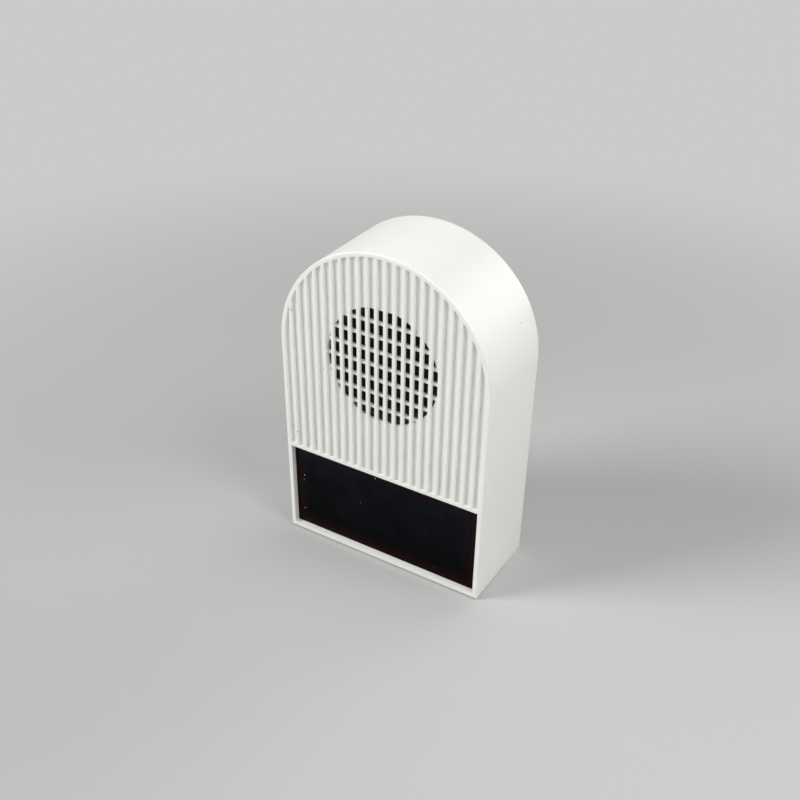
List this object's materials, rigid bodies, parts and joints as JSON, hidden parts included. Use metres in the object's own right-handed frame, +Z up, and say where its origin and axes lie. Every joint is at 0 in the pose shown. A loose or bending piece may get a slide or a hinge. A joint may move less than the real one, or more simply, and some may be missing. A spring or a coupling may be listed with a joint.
{
  "type": "doorbell chime box",
  "caption": "Arch-topped battery doorbell chime box with ribbed front, round pierced speaker grille, dark label plate, keyhole back and tilt-out battery door.",
  "frame": {"origin": "centre of the bounding box's base, under the middle of the foot", "axes": "+X to the right seen from the front, +Y from the ribbed front towards the wall, +Z up"},
  "size_m": [0.0802, 0.0342, 0.1212],
  "materials": {
    "white_abs": "moulded, satin gloss, slightly warm white",
    "label_acrylic": "dark glossy printed plate with a dark red border",
    "screw_steel": "zinc plated",
    "foam": "closed-cell foam",
    "cell_sleeve": "plain printed sleeve",
    "nickel": "nickel plated spring steel",
    "pressed_steel": "pressed, dull plated",
    "felt": "felt board",
    "rubber_edge": "matt",
    "spider_cloth": "resin-dipped cloth",
    "ferrite": "sintered, dark grey",
    "phenolic": "laminated board",
    "tinned": "tinned",
    "paper": "black pressed paper",
    "copper_coil": "enamelled wire",
    "epoxy_black": "moulded",
    "capacitor_sleeve": "shrink sleeve",
    "resistor_body": "lacquered",
    "block_green": "moulded",
    "lead_red": "PVC",
    "lead_black": "PVC"
  },
  "bodies": {
    "chime_body": {"front_housing": "white_abs", "label_plate": "label_acrylic", "back_cover": "white_abs", "cover_screws": "screw_steel", "cell_upper": "cell_sleeve", "cell_lower": "cell_sleeve", "series_contact": "nickel", "series_spring": "nickel", "positive_contact": "nickel", "negative_contact": "nickel", "negative_spring": "nickel", "speaker_frame": "pressed_steel", "speaker_gasket": "felt", "speaker_surround": "rubber_edge", "speaker_spider": "spider_cloth", "speaker_top_plate": "pressed_steel", "speaker_magnet": "ferrite", "speaker_yoke": "pressed_steel", "speaker_terminal_strip": "phenolic", "speaker_lugs": "tinned", "speaker_screws": "screw_steel", "speaker_washers": "screw_steel", "circuit_board": "phenolic", "board_screws": "screw_steel", "melody_chip": "epoxy_black", "chip_pins": "tinned", "board_capacitor": "capacitor_sleeve", "board_transistor": "epoxy_black", "board_resistors": "resistor_body", "terminal_block": "block_green", "terminal_screws": "screw_steel", "battery_lead_positive": "lead_red", "battery_lead_negative": "lead_black", "speaker_lead_a": "lead_black", "speaker_lead_b": "lead_red"},
    "door": {"battery_door": "white_abs", "door_pad": "foam"},
    "cone": {"speaker_cone": "paper", "dust_cap": "paper", "voice_coil": "copper_coil"}
  },
  "joints": [
    {"name": "door_tilt", "type": "hinge", "parent": "chime_body", "child": "door", "pos_m": [0, 0.0171, 0.00595], "axis": [-1, 0, 0], "range_deg": [0, 75]},
    {"name": "cone_travel", "type": "slide", "parent": "chime_body", "child": "cone", "axis": [0, 1, 0], "range_m": [-0.0008, 0.0008], "stiffness_N_per_m": 600, "deforming": ["speaker_surround", "speaker_spider"]}
  ]
}
